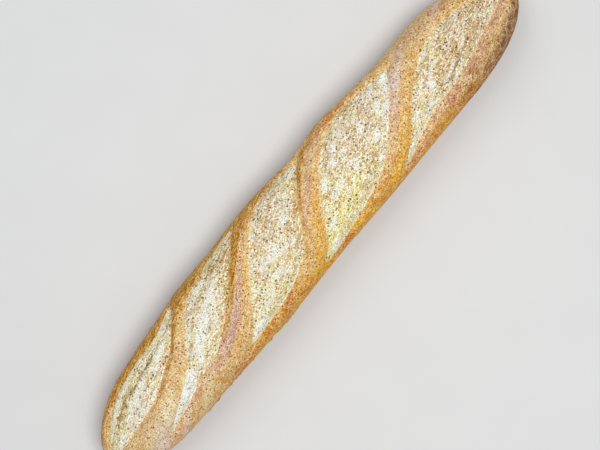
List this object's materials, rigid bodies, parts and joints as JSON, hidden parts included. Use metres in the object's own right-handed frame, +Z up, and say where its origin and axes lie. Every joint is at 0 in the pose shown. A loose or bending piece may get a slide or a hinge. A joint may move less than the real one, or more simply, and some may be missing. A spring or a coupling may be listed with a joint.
{
  "type": "baguette",
  "caption": "Long brown bread loaf with slanting leaf-shaped cuts on top, rounded ends and a flat underside.",
  "frame": {"origin": "under the middle of the loaf, on the surface it rests on", "axes": "+X along the loaf, towards the end that the cuts climb to on the +Y side, +Z up from the flat underside"},
  "size_m": [0.497, 0.0844, 0.0561],
  "materials": {
    "crust": "dry baked crust, paler floury crumb in the cuts"
  },
  "bodies": {
    "root": {"loaf": "crust"}
  },
  "joints": []
}
